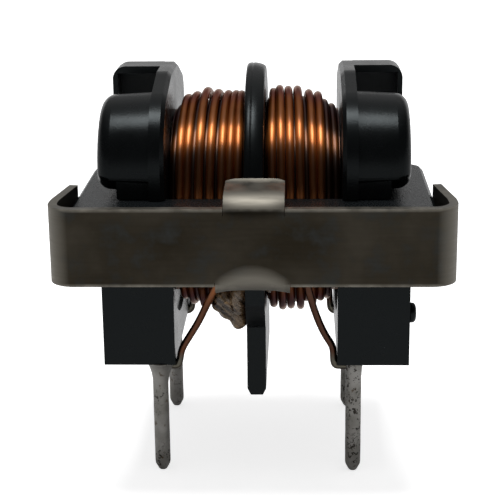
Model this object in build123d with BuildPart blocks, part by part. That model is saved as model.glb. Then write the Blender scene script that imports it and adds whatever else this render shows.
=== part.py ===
"""Common mode choke: two enamelled windings in the two chambers of one moulded bobbin, a flat ring of two
U-shaped ferrite cores whose rear legs meet inside the bobbin, and a folded spring clip round the front leg.

Millimetres. X runs along the winding axis, -Y is the clip side, +Z is up. The origin is the centre of the
pin grid, on the top face of the circuit board that the pins go through."""
import os
from math import cos, radians, sin, sqrt, tan
from build123d import *

os.makedirs("parts", exist_ok=True)

# Pins and board
pin_pitch_x = 8.0
pin_pitch_y = 7.0
pin_diameter = 0.65
pin_drop = 4.15  # free length below the top face of the board
pin_grip = 3.2  # length held in the leg block
pin_fit = 0.01  # radial clearance in the leg block
pin_bevel = 0.16
stand_off = 0.7  # from the board up to the leg blocks
solder_radius = 0.52  # at the leg block
solder_lift = 0.04  # solder stops this far above the board
joint_gap = 0.02  # between a wire and the solder that holds it

# Ferrite
leg_size = 2.5  # square section of every leg
core_fit = 0.05  # between ferrite and moulding
yoke_gap = 0.45  # from a flange to the yoke beside it
core_corner = 0.7  # upright outer corners
core_edge = 0.15

# Windings
wire_diameter = 0.3
winding_radius = 4.67
winding_gap = 0.13  # from the winding to the front leg
winding_fit = 0.02  # from a winding to the moulding
turn_pitch = 0.37
outer_turns = 7
layer_step = 0.24  # each layer lies this much inside the next
lead_clear = 0.05  # between a lead and the face that it runs down
lead_bend = 0.27
lead_sides = 6  # a lead is so thin that six flats pass for round
lead_depth = 0.68  # a lead starts this deep in its winding
lead_start_angle = 10.0  # degrees below the axis, where a lead starts and where it leaves its winding
lead_leave_angle = 37.0
lead_spread = 0.2  # share of the way to the leg block that a lead has gone when it leaves
lead_drop = 0.66  # above the underside of its block, where a lead meets the block's face
left_lead_start = 1.4  # where the front leads leave their windings, from the partition's middle
right_lead_start = 2.0
resin_top = 1.75  # below the winding axis
left_resin_drop = 4.55
left_resin_reach = 1.55
left_resin_depth = 0.75
right_resin_drop = 2.75
right_resin_reach = 0.95
right_resin_depth = 0.35
resin_draft = 20.0  # degrees; each drop thins away from the partition

# Bobbin
chamber = 3.06  # width of one winding chamber
partition = 0.78
partition_radius = 5.74
flange = 0.6
tube_wall = 0.5
block_height = 4.7
block_lip = 0.13  # a leg block stands this far past the cheek and the flange
block_margin = 0.52  # from a pin's axis to the front or rear of its block
cheek_reach = 2.06  # from the flange out to the cheek's end
cheek_front = 5.35  # from the winding axis
cheek_height = 5.57  # where its sloping top would meet its front, without the round between them
cheek_rear_height = 4.2
chin = 0.5  # bevel under the cheek's front
cheek_draft = 3.0  # degrees
flange_front = 5.4
flange_rear = 5.3
flange_height = 5.6
front_shoulder = 4.6  # height where the flange's front edge turns back to its crown
rear_shoulder = 4.54
crown_front = 0.97  # the flat crown's front end, from the winding axis
crown_rear = 2.12
crown_radius = 2.4
nose_radius = 2.85
rear_shoulder_radius = 1.2
flange_edge = 0.15
cheek_edge = 0.55
partition_edge = 0.3
fin_bevel = 0.14
tab_clear = 2.05  # the partition's front stays this far above the axis, over the clip's upper tab
seam_step = 0.05  # the cheek lies this far inside the flange's edge
foot_lift = 0.24  # gap under the cheek, outside its foot
foot_reach = 1.27
rear_block_front = 0.9
rear_block_height = 5.55
rear_block_depth = 4.0
rear_block_round = 2.8  # its top rear edge
pocket_depth = 1.3
pocket_roof = 0.3
pocket_side = 0.2
fin_half_length = 3.5
fin_drop = 1.51  # below the leg blocks, into a slot in the board
gate_radius = 0.3
gate_stub = 0.2
gate_forward = 2.9  # from the winding axis
gate_rise = 1.9  # above the underside of its block

# Spring clip
clip_sheet = 0.35
clip_height = 3.02
clip_corner = 1.0  # outer radius
clip_bow = 1.5  # behind the clip's front, where its arms turn in towards the yokes
clip_side_gap = 0.38  # from a yoke to the clip at its front corners
clip_fit = 0.02  # from a yoke to the end of an arm
clip_front_gap = 0.11  # from the front leg
clip_reach = 3.9  # how far the arms run back from the clip's front
upper_tab_width = 2.3
upper_tab_gap = 0.3  # above the front leg
upper_tab_bend = 0.55
lower_tab_width = 2.8
lower_tab_bend = 0.65
lower_tab_gap = 0.07  # under the front leg
tab_end_gap = 0.2  # from the tabs' ends to the rear edge of the front leg

# Everything below follows from the sizes above
pin_radius = pin_diameter / 2
pin_x = pin_pitch_x / 2
pin_y = pin_pitch_y / 2
wire_radius = wire_diameter / 2
axis_z = stand_off + block_height + core_fit + leg_size / 2
partition_half = partition / 2
flange_in = partition_half + chamber
flange_out = flange_in + flange
cheek_out = flange_out + cheek_reach
block_in = flange_in - block_lip
block_out = cheek_out + block_lip
block_half_depth = pin_y + block_margin
leg_half = leg_size / 2
yoke_in = flange_out + yoke_gap
yoke_out = yoke_in + leg_size
slot_half = leg_half + core_fit
tube_half = slot_half + tube_wall
front_leg_in = winding_radius + winding_gap
front_leg_out = front_leg_in + leg_size
clip_front = front_leg_out + clip_front_gap + clip_sheet
clip_half = yoke_out + clip_side_gap + clip_sheet
window_limit = front_leg_in - core_fit
lead_x = block_in - lead_clear - wire_radius
lead_end_z = stand_off - lead_clear - wire_radius
pin_shoulder = lead_end_z - wire_radius
front_lead_starts = {-1: left_lead_start, 1: right_lead_start}
side_names = {-1: "left", 1: "right"}
row_names = {-1: "front", 1: "rear"}


def side_plane(x):
    """A plane across the winding axis at x: its X is the object's Y, its Y is height above the axis."""
    return Plane(origin=(x, 0, axis_z), x_dir=(0, 1, 0), z_dir=(1, 0, 0))


# Ferrite ring: each half is a U whose leg ends meet the other half's at X = 0
def make_core(side):
    with BuildPart() as core:
        with BuildSketch(Plane.XY.offset(axis_z - leg_half)):
            with BuildLine():
                Polyline(
                    (0, leg_half),
                    (side * yoke_out, leg_half),
                    (side * yoke_out, -front_leg_out),
                    (0, -front_leg_out),
                    (0, -front_leg_in),
                    (side * yoke_in, -front_leg_in),
                    (side * yoke_in, -leg_half),
                    (0, -leg_half),
                    close=True,
                )
            make_face()
        extrude(amount=leg_size)
        uprights = core.edges().filter_by(Axis.Z).sort_by(Axis.X)
        outer_uprights = uprights[:2] if side < 0 else uprights[-2:]
        fillet(outer_uprights, core_corner)
        rims = core.edges().filter_by(GeomType.LINE).filter_by(Axis.X).group_by(Axis.Z)
        chamfer(rims[0] + rims[-1], core_edge)
    return core


for side in (-1, 1):
    core = make_core(side)
    core.part.label = f"core_{side_names[side]}"
    export_step(core.part, f"parts/{core.part.label}.step")


# Bobbin: one moulding, mirrored about its partition apart from the moulding gate
with BuildPart() as bobbin:
    # Flange plate: rounded above the ring, narrow in its window, as deep as the leg block below it
    with BuildSketch(side_plane(flange_in)):
        with BuildLine():
            FilletPolyline(
                (-flange_front, slot_half),
                (-flange_front, front_shoulder),
                (-crown_front, flange_height),
                (crown_rear, flange_height),
                (flange_rear, rear_shoulder),
                (flange_rear, -slot_half),
                radius=[nose_radius, crown_radius, crown_radius, rear_shoulder_radius],
            )
            Polyline(
                (flange_rear, -slot_half),
                (block_half_depth, -slot_half),
                (block_half_depth, -slot_half - block_height),
                (-block_half_depth, -slot_half - block_height),
                (-block_half_depth, -slot_half),
                (-window_limit, -slot_half),
                (-window_limit, slot_half),
                (-flange_front, slot_half),
            )
        make_face()
    extrude(amount=flange)
    inner_edges = bobbin.faces().sort_by(Axis.X)[0].edges()
    inner_rim = inner_edges.filter_by(lambda edge: edge.center().Z > axis_z + slot_half + flange_edge)
    chamfer(inner_rim, flange_edge)

    # Cheek drum over the yoke, drafted towards its rounded end
    drum_front = cheek_front - seam_step
    drum_rear = rear_block_front + pocket_depth
    drum_base = slot_half + foot_lift
    with BuildSketch(side_plane(flange_out)):
        with BuildLine():
            FilletPolyline(
                (-drum_front, drum_base + chin),
                (-drum_front, cheek_height),
                (drum_rear, cheek_rear_height),
                radius=nose_radius,
            )
            Polyline(
                (drum_rear, cheek_rear_height),
                (drum_rear, drum_base),
                (-drum_front + chin, drum_base),
                (-drum_front, drum_base + chin),
            )
        make_face()
    extrude(amount=cheek_reach, taper=cheek_draft)
    fillet(bobbin.faces().sort_by(Axis.X)[-1].edges(), cheek_edge)

    # Foot under the drum, seated on the yoke, just behind the drafted front of the drum
    foot_front = drum_front - foot_reach * tan(radians(cheek_draft)) - seam_step
    foot_top = drum_base + chin
    with BuildSketch(side_plane(flange_out)):
        with BuildLine():
            Polyline(
                (-foot_front, slot_half),
                (-foot_front, foot_top),
                (drum_rear, foot_top),
                (drum_rear, slot_half),
                close=True,
            )
        make_face()
    extrude(amount=foot_reach)

    # Rear block, down behind the yoke to the leg block, with a pocket that opens to the front
    block_rear = rear_block_front + rear_block_depth
    with BuildSketch(side_plane(flange_out)):
        with BuildLine():
            FilletPolyline(
                (rear_block_front, rear_block_height),
                (block_rear, rear_block_height),
                (block_rear, -slot_half),
                radius=rear_block_round,
            )
            Polyline(
                (block_rear, -slot_half),
                (slot_half, -slot_half),
                (slot_half, slot_half),
                (rear_block_front, slot_half),
                (rear_block_front, rear_block_height),
            )
        make_face()
    extrude(amount=cheek_reach)
    behind_front = bobbin.faces().sort_by(Axis.X)[-1].edges().filter_by(
        lambda edge: edge.center().Y > rear_block_front + 0.01
    )
    fillet(behind_front.filter_by(lambda edge: edge.center().Z > axis_z), cheek_edge)
    with BuildSketch(side_plane(flange_out)):
        with BuildLine():
            Polyline(
                (rear_block_front, cheek_rear_height),
                (rear_block_front, rear_block_height - pocket_roof),
                (drum_rear, rear_block_height - pocket_roof),
                (drum_rear, cheek_rear_height),
                close=True,
            )
        make_face()
    extrude(amount=cheek_reach - pocket_side, mode=Mode.SUBTRACT)

    # Leg block under the yoke
    with BuildSketch(Plane.XY.offset(stand_off)):
        with Locations(((block_in + block_out) / 2, 0)):
            Rectangle(block_out - block_in, 2 * block_half_depth)
    extrude(amount=block_height)
    with BuildSketch(side_plane(block_in - block_lip)):
        Circle(winding_radius + winding_gap / 2)
    extrude(amount=2 * block_lip, mode=Mode.SUBTRACT)
    mirror(about=Plane.YZ)

    # Square tube for the rear legs
    with BuildSketch(side_plane(-flange_out)):
        Rectangle(2 * tube_half, 2 * tube_half)
    extrude(amount=2 * flange_out)

    # Partition disc between the windings, running down as a fin
    fin_end = slot_half + block_height + fin_drop
    with BuildSketch(side_plane(-partition_half)):
        Circle(partition_radius)
        with Locations((-window_limit, tab_clear)):
            Rectangle(flange_front, 3 * flange_front, align=(Align.MAX, Align.MAX), mode=Mode.SUBTRACT)
        with Locations((flange_rear, 0)):
            Rectangle(flange_rear, 3 * flange_rear, align=(Align.MIN, Align.CENTER), mode=Mode.SUBTRACT)
        with Locations((0, -fin_end)):
            Rectangle(2 * fin_half_length, fin_end, align=(Align.CENTER, Align.MIN))
    extrude(amount=partition)
    rim_edges = bobbin.edges().filter_by(lambda edge: abs(abs(edge.center().X) - partition_half) < 0.001)
    chamfer(rim_edges.group_by(Axis.Z)[-1], partition_edge)
    fin_tip = bobbin.edges().filter_by(Axis.Y).group_by(Axis.Z)[0]
    chamfer(fin_tip, length=2 * fin_bevel, length2=fin_bevel)

    # Passage for the rear legs of the ring
    with BuildSketch(side_plane(-yoke_out)):
        Rectangle(2 * slot_half, 2 * slot_half)
    extrude(amount=2 * yoke_out, mode=Mode.SUBTRACT)

    # Pin holes
    with Locations(Plane(origin=(0, 0, stand_off), z_dir=(0, 0, -1))):
        with GridLocations(pin_pitch_x, pin_pitch_y, 2, 2):
            Hole(pin_radius + pin_fit, depth=pin_grip)

    # Stub of the trimmed moulding gate, on the end of one leg block
    with BuildSketch(Plane.YZ.offset(block_out)):
        with Locations((-gate_forward, stand_off + gate_rise)):
            Circle(gate_radius)
    extrude(amount=gate_stub)
bobbin.part.label = "bobbin"
export_step(bobbin.part, "parts/bobbin.step")


# Pins: round, with bevelled tips, and squared above the board so that four corners grip the moulding
pins = {}
for side in (-1, 1):
    for row in (-1, 1):
        with BuildPart() as pin:
            with BuildSketch(Plane.XY.offset(-pin_drop)):
                with Locations((side * pin_x, row * pin_y)):
                    Circle(pin_radius)
            extrude(amount=pin_drop + pin_shoulder)
            chamfer(pin.edges().group_by(Axis.Z)[0], length=2 * pin_bevel, length2=pin_bevel)
            with BuildSketch(Plane.XY.offset(pin_shoulder)):
                with Locations((side * pin_x, row * pin_y)):
                    RegularPolygon(pin_radius, 4, rotation=45)
            extrude(amount=stand_off + pin_grip - pin_fit - pin_shoulder)
        pin.part.label = f"pin_{row_names[row]}_{side_names[side]}"
        export_step(pin.part, f"parts/{pin.part.label}.step")
        pins[side, row] = pin.part


# Windings: rings of turns, closed inside by the square tube, each with its two leads down to the pins
turn_radius = winding_radius - wire_radius
turn_start = partition_half + winding_fit + wire_radius
winding_end = flange_in - winding_fit


def on_winding(x, row, radius, angle):
    """A point on the winding, angle degrees below the height of its axis."""
    return (x, row * radius * cos(radians(angle)), axis_z - radius * sin(radians(angle)))


def lead_route(side, row):
    """A lead's centre line: off the winding, across to the leg block, down its face and to the pin."""
    turn_x = lead_x if row > 0 else front_lead_starts[side]
    radius = turn_radius - (2 * layer_step if row > 0 else 0)
    leave_x = turn_x + lead_spread * (lead_x - turn_x)
    return [
        on_winding(side * turn_x, row, radius - lead_depth, lead_start_angle),
        on_winding(side * leave_x, row, radius, lead_leave_angle),
        (side * lead_x, row * pin_y, stand_off + lead_drop),
        (side * lead_x, row * pin_y, lead_end_z),
        (side * (pin_x - pin_radius - joint_gap), row * pin_y, lead_end_z),
    ]


def make_lead(side, row):
    with BuildPart() as lead:
        with BuildLine() as route:
            FilletPolyline(*lead_route(side, row), radius=lead_bend)
        with BuildSketch(Plane(origin=route.line @ 0, z_dir=route.line % 0)):
            RegularPolygon(wire_radius, lead_sides)
        sweep(path=route.line)
    return lead.part


def turn_profile():
    """The winding's outside, from partition to flange, as (distance from the partition's middle, radius):
    one ridge for each turn of the outer layer, then one turn of each layer below it."""
    turns = [(turn_start + turn * turn_pitch, winding_radius) for turn in range(outer_turns)]
    last_x = turns[-1][0]
    step = (winding_end - wire_radius - last_x) / 2
    turns += [(last_x + layer * step, winding_radius - layer * layer_step) for layer in (1, 2)]
    points = [(partition_half + winding_fit, winding_radius - wire_radius)]
    for x, radius in turns:
        points += [(x, radius), (x + turn_pitch / 2, radius - wire_radius)]
    points[-1] = (winding_end, points[-1][1])
    return points


leads = {(side, row): make_lead(side, row) for side in (-1, 1) for row in (-1, 1)}
for side in (-1, 1):
    profile_plane = Plane(origin=(0, 0, axis_z), x_dir=(side, 0, 0), z_dir=(0, -side, 0))
    with BuildPart() as winding:
        with BuildSketch(profile_plane):
            with BuildLine():
                Polyline(
                    (partition_half + winding_fit, 0),
                    *turn_profile(),
                    (winding_end, 0),
                    close=True,
                )
            make_face()
        revolve(axis=Axis((0, 0, axis_z), (1, 0, 0)))
        with Locations((0, 0, axis_z)):
            tube_space = 2 * (tube_half + winding_fit)
            Box(2 * flange_in, tube_space, tube_space, mode=Mode.SUBTRACT)
        add(leads[side, -1])
        add(leads[side, 1])
    winding.part.label = f"winding_{side_names[side]}"
    export_step(winding.part, f"parts/{winding.part.label}.step")


# Solder: a collar round each pin, under the leg block, with the end of the lead in it
for side in (-1, 1):
    for row in (-1, 1):
        collar_plane = Plane(origin=(side * pin_x, row * pin_y, 0), x_dir=(1, 0, 0), z_dir=(0, -1, 0))
        with BuildPart() as solder:
            with BuildSketch(collar_plane):
                with BuildLine():
                    Polyline(
                        (0, solder_lift),
                        (0, stand_off),
                        (solder_radius, stand_off),
                        (pin_radius, solder_lift),
                        close=True,
                    )
                make_face()
            revolve(axis=Axis((side * pin_x, row * pin_y, 0), (0, 0, 1)))
            add(pins[side, row], mode=Mode.SUBTRACT)
            add(leads[side, row], mode=Mode.SUBTRACT)
        solder.part.label = f"solder_{row_names[row]}_{side_names[side]}"
        export_step(solder.part, f"parts/{solder.part.label}.step")


# Spring clip: one strip folded round the front leg, with a tab over and a tab under it
upper_height = leg_half + upper_tab_gap + clip_sheet / 2
lower_height = leg_half + lower_tab_gap + clip_sheet / 2
clip_tabs = [
    (1, upper_tab_width, upper_tab_bend, upper_height),
    (-1, lower_tab_width, lower_tab_bend, lower_height),
]
with BuildPart() as clip:
    arm_end = -clip_front + clip_reach
    with BuildSketch(Plane.XY.offset(axis_z - clip_height / 2)):
        with BuildLine():
            FilletPolyline(
                (-yoke_out - clip_fit - clip_sheet, arm_end),
                (-clip_half, -clip_front + clip_bow),
                (-clip_half, -clip_front),
                (clip_half, -clip_front),
                (clip_half, -clip_front + clip_bow),
                (yoke_out + clip_fit + clip_sheet, arm_end),
                radius=clip_corner,
            )
            offset(amount=clip_sheet, side=Side.LEFT)
        make_face()
    extrude(amount=clip_height)
    for up, tab_width, tab_bend, tab_height in clip_tabs:
        # The strip's own wall ends where the tab's bend starts
        with Locations((0, -clip_front + clip_sheet / 2, axis_z + up * (tab_height - tab_bend))):
            wall_side = Align.MIN if up > 0 else Align.MAX
            wall_align = (Align.CENTER, Align.CENTER, wall_side)
            Box(tab_width, 2 * clip_sheet, 2 * clip_height, align=wall_align, mode=Mode.SUBTRACT)
        with BuildLine(side_plane(0)) as fold:
            FilletPolyline(
                (-clip_front + clip_sheet / 2, up * (tab_height - tab_bend - clip_sheet)),
                (-clip_front + clip_sheet / 2, up * tab_height),
                (-front_leg_in - tab_end_gap, up * tab_height),
                radius=tab_bend,
            )
        with BuildSketch(Plane(origin=fold.line @ 0, x_dir=(1, 0, 0), z_dir=fold.line % 0)):
            Rectangle(tab_width, clip_sheet)
        sweep(path=fold.line)
clip.part.label = "clip"
export_step(clip.part, "parts/clip.step")


# Resin drops under the ring, against the partition, each cut to the round of its winding
resin_sizes = [
    (-1, left_resin_drop, left_resin_reach, left_resin_depth),
    (1, right_resin_drop, right_resin_reach, right_resin_depth),
]
for side, resin_drop, resin_reach, resin_depth in resin_sizes:
    half_height = (resin_drop - resin_top) / 2
    middle = (resin_drop + resin_top) / 2
    surface_y = -sqrt(winding_radius**2 - middle**2)
    drop_centre = (side * partition_half, surface_y + half_height - resin_depth, axis_z - middle)
    with BuildPart() as resin:
        with BuildSketch(Plane(origin=drop_centre, z_dir=(side, 0, 0))):
            Circle(half_height)
        extrude(amount=resin_reach, taper=resin_draft)
        with BuildSketch(side_plane(-flange_in)):
            Circle(winding_radius)
        extrude(amount=2 * flange_in, mode=Mode.SUBTRACT)
        add(leads[side, -1], mode=Mode.SUBTRACT)
    resin.part.label = f"resin_{side_names[side]}"
    export_step(resin.part, f"parts/{resin.part.label}.step")
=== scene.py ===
import bpy
import numpy as np
from mathutils import Matrix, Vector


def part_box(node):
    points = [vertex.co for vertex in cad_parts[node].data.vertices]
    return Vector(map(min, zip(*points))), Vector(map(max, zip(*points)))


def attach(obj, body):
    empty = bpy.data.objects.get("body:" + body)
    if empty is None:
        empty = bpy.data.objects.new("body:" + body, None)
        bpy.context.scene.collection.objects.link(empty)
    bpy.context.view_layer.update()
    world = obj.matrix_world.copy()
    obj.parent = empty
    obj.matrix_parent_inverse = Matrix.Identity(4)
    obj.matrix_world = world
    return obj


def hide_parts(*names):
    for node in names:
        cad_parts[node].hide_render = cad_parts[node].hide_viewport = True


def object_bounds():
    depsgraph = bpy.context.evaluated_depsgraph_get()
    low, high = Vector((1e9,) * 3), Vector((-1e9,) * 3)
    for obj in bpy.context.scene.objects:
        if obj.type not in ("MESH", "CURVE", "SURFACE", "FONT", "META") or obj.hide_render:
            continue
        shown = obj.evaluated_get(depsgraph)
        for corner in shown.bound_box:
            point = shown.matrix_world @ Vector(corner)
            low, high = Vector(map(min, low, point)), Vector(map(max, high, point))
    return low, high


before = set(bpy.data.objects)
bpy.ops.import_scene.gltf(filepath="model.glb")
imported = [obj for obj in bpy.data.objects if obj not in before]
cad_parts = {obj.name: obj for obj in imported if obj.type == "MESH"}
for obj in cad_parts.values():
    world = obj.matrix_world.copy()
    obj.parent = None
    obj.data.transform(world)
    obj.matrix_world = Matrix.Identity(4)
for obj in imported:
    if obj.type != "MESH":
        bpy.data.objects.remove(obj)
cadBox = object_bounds()
print("choke frame loaded")

mm = 0.001


def nodeBox(name):
    # lowest and highest corner of a CAD piece, in millimetres
    low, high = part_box(name)
    return np.array(low) / mm, np.array(high) / mm


# Places that the new pieces are fitted to, in millimetres

coilLow, coilHigh = nodeBox("winding_left")
pinLow, pinHigh = nodeBox("pin_front_left")
axisZ = coilHigh[2] - (coilHigh[1] - coilLow[1]) / 2  # height of the windings' axis
pinX = -(pinLow[0] + pinHigh[0]) / 2
pinY = -(pinLow[1] + pinHigh[1]) / 2
pinRadius = (pinHigh[0] - pinLow[0]) / 2
pinTip = pinLow[2]
blockBase = nodeBox("solder_front_left")[1][2]  # underside of the leg blocks
blockEnd = nodeBox("bobbin")[1][0]  # outer end of the right leg block
clipFront = nodeBox("clip")[0][1]
clipMiddle = axisZ + 0.06  # the clip sits a little above the windings' axis
floorZ = cadBox[0][2] / mm


# Meshes

def addPiece(name, points, faces, material, slotName, smooth=True):
    # points in millimetres; the faces are turned where the enclosed volume comes out negative
    points = np.asarray(points, float).reshape(-1, 3) * mm
    faces = np.asarray(faces, int)
    corners = points[faces]
    centre = points.mean(0)
    fan = np.cross(corners[:, 1] - centre, corners[:, 2] - centre)
    volume = np.einsum("ij,ij->", corners[:, 0] - centre, fan)
    if volume < 0:
        faces = faces[:, ::-1]
    mesh = bpy.data.meshes.new(name)
    mesh.from_pydata(points.tolist(), [], faces.tolist())
    mesh.materials.append(material)
    mesh.polygons.foreach_set("use_smooth", np.full(len(mesh.polygons), smooth))
    mesh.update()
    piece = bpy.data.objects.new(name, mesh)
    bpy.context.scene.collection.objects.link(piece)
    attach(piece, "root")
    return piece


def gridTriangles(rows, columns, closedRows=False):
    # two triangles for each cell of a grid of points, counted row by row; the last column joins the first
    rowCount = rows if closedRows else rows - 1
    r, c = np.meshgrid(np.arange(rowCount), np.arange(columns), indexing="ij")
    nextR, nextC = (r + 1) % rows, (c + 1) % columns
    a, b = r * columns + c, nextR * columns + c
    d, e = r * columns + nextC, nextR * columns + nextC
    return np.concatenate([np.stack([a, b, e], -1).reshape(-1, 3), np.stack([a, e, d], -1).reshape(-1, 3)])


def closedTube(rings):
    # rings is rows x columns x 3; a fan of triangles on each end ring's middle shuts the tube
    rows, columns = rings.shape[:2]
    points = np.concatenate([rings.reshape(-1, 3), rings[0].mean(0)[None], rings[-1].mean(0)[None]])
    c = np.arange(columns)
    nextC = (c + 1) % columns
    last = (rows - 1) * columns
    startCap = np.stack([np.full(columns, rows * columns), c, nextC], -1)
    endCap = np.stack([np.full(columns, rows * columns + 1), last + nextC, last + c], -1)
    return points, np.concatenate([gridTriangles(rows, columns), startCap, endCap])


def wireAlong(path, radius, sides, across):
    # a circle set square to the path: path + radius * (cos a * side + sin a * other side)
    step = np.gradient(path, axis=0)
    step /= np.linalg.norm(step, axis=1, keepdims=True)
    side = np.array(across, float) - step * (step @ np.array(across, float))[:, None]
    side /= np.linalg.norm(side, axis=1, keepdims=True)
    other = np.cross(step, side)
    a = np.linspace(0, 2 * np.pi, sides, endpoint=False)[None, :, None]
    return path[:, None, :] + radius * (np.cos(a) * side[:, None, :] + np.sin(a) * other[:, None, :])


def smoothPath(guides, steps):
    # a uniform cubic B-spline: each span blends four guide points, and both ends are held
    guides = np.array(guides, float)
    guides = np.concatenate([[2 * guides[0] - guides[1]], guides, [2 * guides[-1] - guides[-2]]])
    t = np.linspace(0, len(guides) - 3 - 1e-9, steps)
    k = t.astype(int)
    u = (t - k)[:, None]
    return ((1 - u) ** 3 * guides[k] + (3 * u**3 - 6 * u**2 + 4) * guides[k + 1]
            + (-3 * u**3 + 3 * u**2 + 3 * u + 1) * guides[k + 2] + u**3 * guides[k + 3]) / 6


def smoothStep(t):
    # from 0 to 1 with level ends: t ^ 2 * (3 - 2 * t)
    t = np.clip(t, 0, 1)
    return t * t * (3 - 2 * t)


def spunLoop(loop, spins):
    # loop is closed and made of (radius, x); each point turns about the windings' axis
    loop = np.array(loop, float)
    a = np.linspace(0, 2 * np.pi, spins, endpoint=False)[:, None]
    radius, x = loop[None, :, 0], np.broadcast_to(loop[:, 1], (spins, len(loop)))
    rings = np.stack([x, radius * np.cos(a), axisZ + radius * np.sin(a)], -1)
    return rings.reshape(-1, 3), gridTriangles(spins, len(loop), closedRows=True)


def uprightRod(x, y, z, radius, spins):
    # circles of the given radius about (x, y), one for each height
    turn = np.linspace(0, 2 * np.pi, spins, endpoint=False)[None, :]
    x, z, radius = (np.reshape(value, (-1, 1)) for value in (x, z, radius))
    return np.stack([x + radius * np.cos(turn), y + radius * np.sin(turn), z + 0 * turn], -1)


# Materials

noiseSpan = (0.3, 0.7)  # most of a noise's values lie between these
toneEdge = (0.35, 0.65)  # values of a noise between which one tone turns into the other


def newFinish(name):
    finish = bpy.data.materials.new(name)
    finish.use_nodes = True
    tree = finish.node_tree
    shader = tree.nodes["Principled BSDF"]
    place = tree.nodes.new("ShaderNodeTexCoord")
    scale = tree.nodes.new("ShaderNodeMapping")
    scale.inputs["Scale"].default_value = (1 / mm, 1 / mm, 1 / mm)  # patterns are counted per millimetre
    tree.links.new(place.outputs["Object"], scale.inputs["Vector"])
    return finish, tree, shader, scale.outputs["Vector"]


def noiseAt(tree, where, scale, detail, roughness=0.5, stretch=None):
    if stretch:
        mapping = tree.nodes.new("ShaderNodeMapping")
        mapping.inputs["Scale"].default_value = stretch
        tree.links.new(where, mapping.inputs["Vector"])
        where = mapping.outputs["Vector"]
    noise = tree.nodes.new("ShaderNodeTexNoise")
    noise.inputs["Scale"].default_value = scale
    noise.inputs["Detail"].default_value = detail
    noise.inputs["Roughness"].default_value = roughness
    tree.links.new(where, noise.inputs["Vector"])
    return noise.outputs["Fac"]


def fitted(tree, value, fromLow, fromHigh, toLow, toHigh):
    ranged = tree.nodes.new("ShaderNodeMapRange")
    limits = {"From Min": fromLow, "From Max": fromHigh, "To Min": toLow, "To Max": toHigh}
    for socket, number in limits.items():
        ranged.inputs[socket].default_value = number
    tree.links.new(value, ranged.inputs["Value"])
    return ranged.outputs["Result"]


def workOut(tree, operation, first, second=0.0):
    # one step of arithmetic; either value may be a number or a socket
    step = tree.nodes.new("ShaderNodeMath")
    step.operation = operation
    for socket, value in zip(step.inputs, (first, second)):
        if isinstance(value, (int, float)):
            socket.default_value = value
        else:
            tree.links.new(value, socket)
    return step.outputs[0]


def axesOf(tree, vector):
    parts = tree.nodes.new("ShaderNodeSeparateXYZ")
    tree.links.new(vector, parts.inputs[0])
    return parts.outputs["X"], parts.outputs["Y"], parts.outputs["Z"]


def spotsAt(tree, where, scale, size, share):
    # round spots with a soft outer half on the cells of a Voronoi pattern, kept in only a share of the cells
    cells = tree.nodes.new("ShaderNodeTexVoronoi")
    cells.inputs["Scale"].default_value = scale
    tree.links.new(where, cells.inputs["Vector"])
    near = fitted(tree, cells.outputs["Distance"], size, size * 0.5, 0.0, 1.0)
    chosen = fitted(tree, cells.outputs["Color"], 1 - share, 1 - share * 0.8, 0.0, 1.0)
    return workOut(tree, "MULTIPLY", near, chosen)


def blendColours(tree, factor, first, second):
    # first and second are colours or sockets
    mix = tree.nodes.new("ShaderNodeMix")
    mix.data_type = "RGBA"
    tree.links.new(factor, mix.inputs["Factor"])
    for socket, colour in ((mix.inputs[6], first), (mix.inputs[7], second)):
        if isinstance(colour, tuple):
            socket.default_value = (*colour, 1)
        else:
            tree.links.new(colour, socket)
    return mix.outputs[2]


def bumpFrom(tree, height, distance, strength, after=None):
    bump = tree.nodes.new("ShaderNodeBump")
    bump.inputs["Distance"].default_value = distance * mm
    bump.inputs["Strength"].default_value = strength
    tree.links.new(height, bump.inputs["Height"])
    if after:
        tree.links.new(after, bump.inputs["Normal"])
    return bump.outputs["Normal"]


# In each finish below a noise is (scale, detail, roughness, stretch), spots are (scale, size, share) and a
# bump is (depth in millimetres, strength).

mouldingLook = {
    "dark": (0.0015, 0.0017, 0.0018),
    "light": (0.0032, 0.0037, 0.0040),
    "cloud": (0.8, 4),
    "fine": (14, 2),
    "dust": (0.20, 0.21, 0.21),
    "dustSpots": (1.3, 0.035, 0.22),
    # painted light: a lighter colour for the inside of the pocket
    "dullTinAndPaintedPocketLight": (0.10, 0.105, 0.107),
    # painted light: the pocket's inside gets a lighter colour, as if lit from above; its limits aside, to the
    # rear and up from the windings' axis
    "pocket": ((4.03, 5.93), (0.92, 2.24), (4.18, 5.27)),
    "pocketEdge": 0.01,
    "rough": (0.24, 0.30),
    "cloudBump": (0.05, 0.25),
    "fineBump": (0.01, 0.25),
    "shine": 0.13,
    "shineTint": (0.86, 0.97, 1.0),
}


def insidePocket(tree, where):
    # 1 between all six limits, and 0 outside any of them
    x, y, z = axesOf(tree, where)
    places = workOut(tree, "ABSOLUTE", x), y, workOut(tree, "SUBTRACT", z, axisZ)
    edge = mouldingLook["pocketEdge"]
    inside = 1.0
    for value, (low, high) in zip(places, mouldingLook["pocket"]):
        pastLow = fitted(tree, value, low, low + edge, 0, 1)
        beforeHigh = fitted(tree, value, high, high - edge, 0, 1)
        inside = workOut(tree, "MULTIPLY", workOut(tree, "MULTIPLY", pastLow, inside), beforeHigh)
    return inside


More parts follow.
